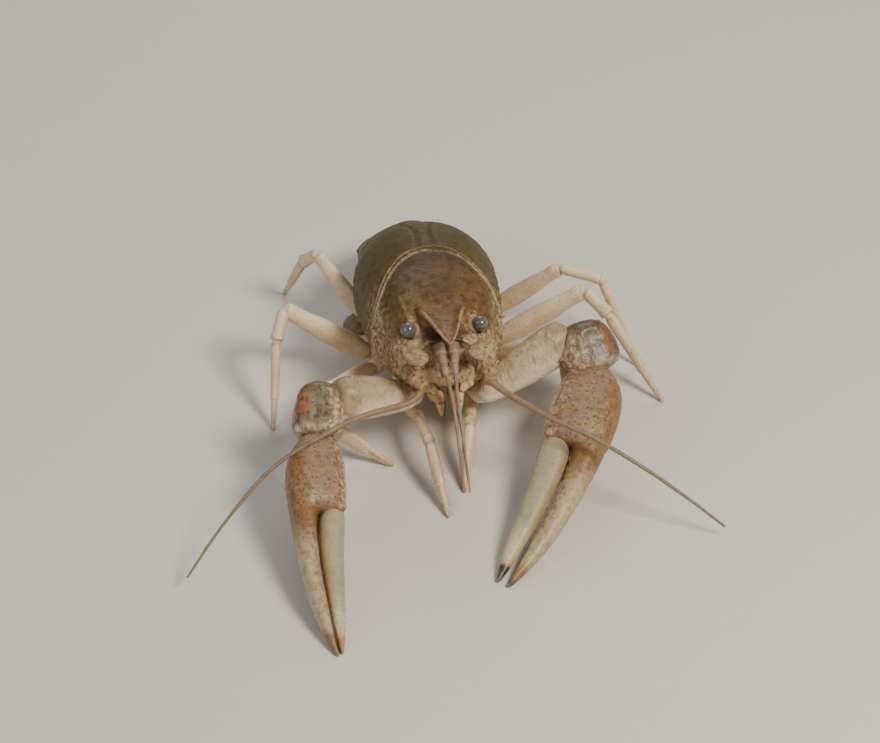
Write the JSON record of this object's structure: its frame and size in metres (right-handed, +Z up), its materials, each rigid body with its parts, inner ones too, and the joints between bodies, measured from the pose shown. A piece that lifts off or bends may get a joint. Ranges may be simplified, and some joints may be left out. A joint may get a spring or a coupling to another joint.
{
  "type": "crayfish model",
  "caption": "Life-size still model of a freshwater crayfish, front raised, long claws laid forward on their tips, tail tucked under.",
  "frame": {"origin": "on the floor under the middle of the animal's outer box", "axes": "+Z up; the animal looks along -Y and its own left side is at +X"},
  "size_m": [0.0898, 0.098, 0.0275],
  "materials": {
    "head_shell": "brown and olive mottled shell with a low wet sheen",
    "thorax_shell": "olive brown shell with fine grains and a cream line at the neck groove",
    "tail_shell": "brown banded shell, paler at the edges",
    "underside": "pale cream belly shell",
    "leg_shell": "pale cream to pinkish leg shell",
    "arm_shell": "cream arm shell with green and tan tints",
    "palm_shell": "pinkish grey claw shell with dark dots and an orange outer edge",
    "finger_shell": "pale grey-green claw finger with a tan inner edge",
    "feeler": "greenish brown ringed feeler",
    "eye": "dark blue-grey glossy eye"
  },
  "bodies": {
    "root": {"antenna_base_left": "head_shell", "antenna_base_right": "head_shell", "antenna_left": "feeler", "antenna_right": "feeler", "antennal_scale_left": "head_shell", "antennal_scale_right": "head_shell", "antennule_left": "feeler", "antennule_right": "feeler", "arm_left": "arm_shell", "arm_right": "arm_shell", "carapace_head": "head_shell", "carapace_thorax": "thorax_shell", "claw_finger_left": "finger_shell", "claw_finger_right": "finger_shell", "eye_left": "eye", "eye_right": "eye", "foot_jaw_left": "leg_shell", "foot_jaw_right": "leg_shell", "leg_2_left_shin": "leg_shell", "leg_2_left_thigh": "leg_shell", "leg_2_right_shin": "leg_shell", "leg_2_right_thigh": "leg_shell", "leg_3_left_shin": "leg_shell", "leg_3_left_thigh": "leg_shell", "leg_3_right_shin": "leg_shell", "leg_3_right_thigh": "leg_shell", "leg_4_left_shin": "leg_shell", "leg_4_left_thigh": "leg_shell", "leg_4_right_shin": "leg_shell", "leg_4_right_thigh": "leg_shell", "leg_5_left_shin": "leg_shell", "leg_5_left_thigh": "leg_shell", "leg_5_right_shin": "leg_shell", "leg_5_right_thigh": "leg_shell", "palm_left": "palm_shell", "palm_right": "palm_shell", "pleonite_1": "tail_shell", "pleonite_2": "tail_shell", "pleonite_3": "tail_shell", "pleonite_4": "tail_shell", "pleonite_5": "tail_shell", "pleonite_6": "tail_shell", "sternum": "underside", "tail_blade_inner_left": "tail_shell", "tail_blade_inner_right": "tail_shell", "tail_blade_outer_left": "tail_shell", "tail_blade_outer_right": "tail_shell", "telson": "tail_shell", "wrist_left": "palm_shell", "wrist_right": "palm_shell"}
  },
  "joints": []
}
